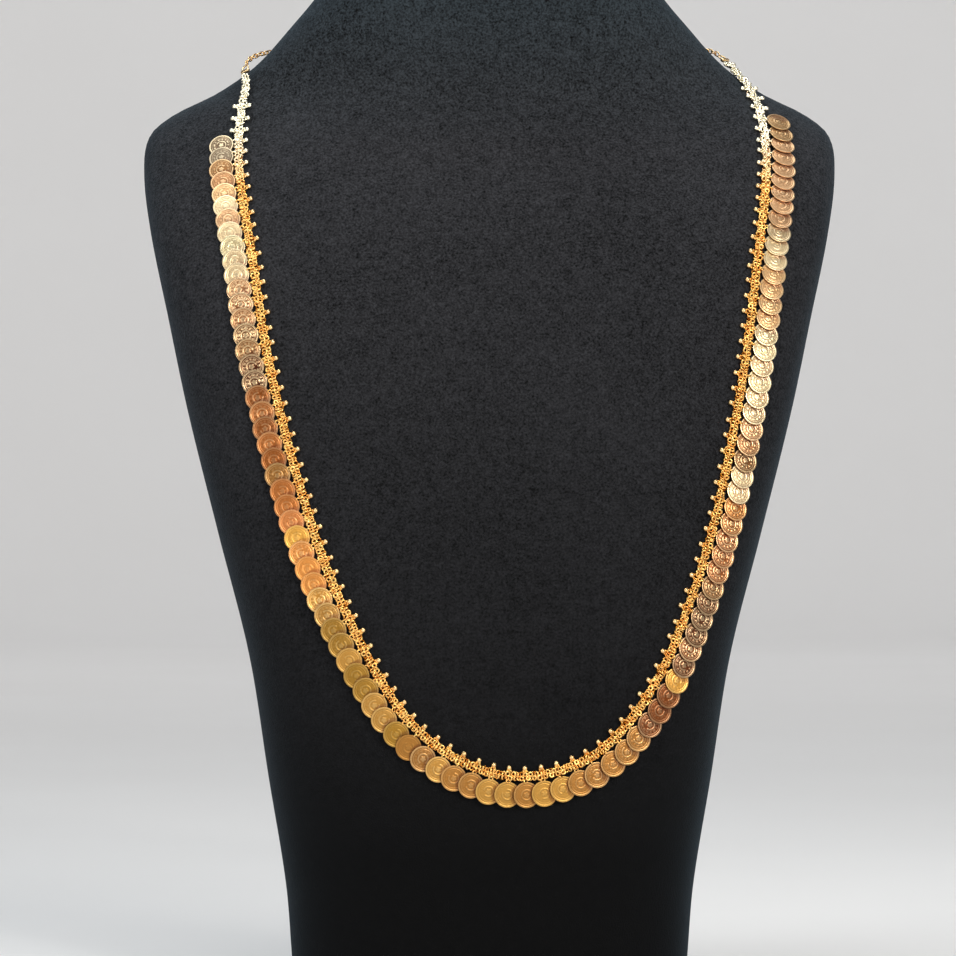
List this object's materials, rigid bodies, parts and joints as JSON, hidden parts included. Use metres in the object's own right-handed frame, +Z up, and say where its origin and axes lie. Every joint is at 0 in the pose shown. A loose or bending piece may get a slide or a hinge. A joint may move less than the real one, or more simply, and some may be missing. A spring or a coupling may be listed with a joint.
{
  "type": "coin necklace on a neck bust",
  "caption": "Long necklace of overlapping raised coins on a band of linked rings edged with granule beads, hanging on a black free-standing neck bust.",
  "frame": {"origin": "middle of the bust's flat base, on the surface that it stands on", "axes": "+Z up the bust to the neck, -Y out of the chest, which is the front, and +X to the right as seen from the front"},
  "size_m": [0.2916, 0.1707, 0.47],
  "materials": {
    "bust_cover": "black velvet with a short pile over a rigid form",
    "band_gold": "bright yellow gold, polished on the high spots",
    "coin_gold": "satin stamped gold, from olive to copper in tone"
  },
  "bodies": {
    "root": {"neck_bust": "bust_cover", "ring_band": "band_gold", "coins_left": "coin_gold", "coins_right": "coin_gold", "inner_beads_left": "band_gold", "inner_beads_right": "band_gold", "outer_beads": "band_gold", "end_cap_left": "band_gold", "end_cap_right": "band_gold", "back_chain_left": "band_gold", "back_chain_right": "band_gold", "clasp": "band_gold"}
  },
  "joints": []
}
